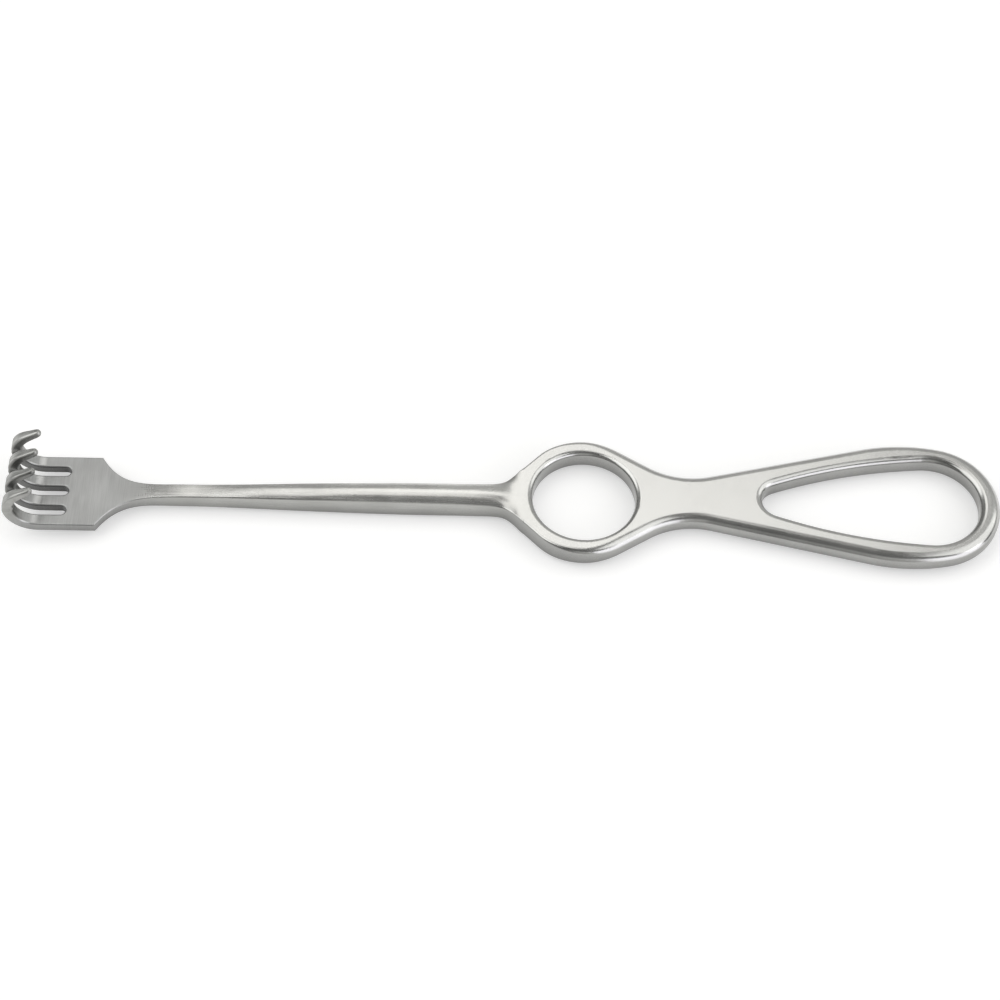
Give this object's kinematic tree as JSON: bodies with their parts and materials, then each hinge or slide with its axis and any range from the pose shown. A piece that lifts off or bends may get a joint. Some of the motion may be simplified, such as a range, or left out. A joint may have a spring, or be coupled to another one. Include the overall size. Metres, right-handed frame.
{
  "type": "rake retractor",
  "caption": "Hand-held surgical rake retractor in one forging: hooked prongs on a slotted plate, tapering shank, round finger ring and open grip loop.",
  "frame": {"origin": "centre of the finger ring, on the mid plane of the flat handle", "axes": "+X along the instrument towards the grip loop, +Z along the finger ring's axis, the side that the hooks bend up to, +Y across to the left of the mirror plane Y = 0"},
  "size_m": [0.219, 0.032, 0.0156],
  "materials": {
    "brushed_blade": "satin, brushed across on the plate and along the prongs",
    "polished_handle": "satin on the flats and bright on the rounded rims, brushed along the shank"
  },
  "bodies": {
    "root": {"prong_1": "brushed_blade", "prong_2": "brushed_blade", "prong_3": "brushed_blade", "prong_4": "brushed_blade", "rake_plate": "brushed_blade", "neck": "brushed_blade", "shank": "polished_handle", "finger_ring": "polished_handle", "bridge": "polished_handle", "grip_arm_left": "polished_handle", "grip_arm_right": "polished_handle", "grip_bow": "polished_handle"}
  },
  "joints": []
}
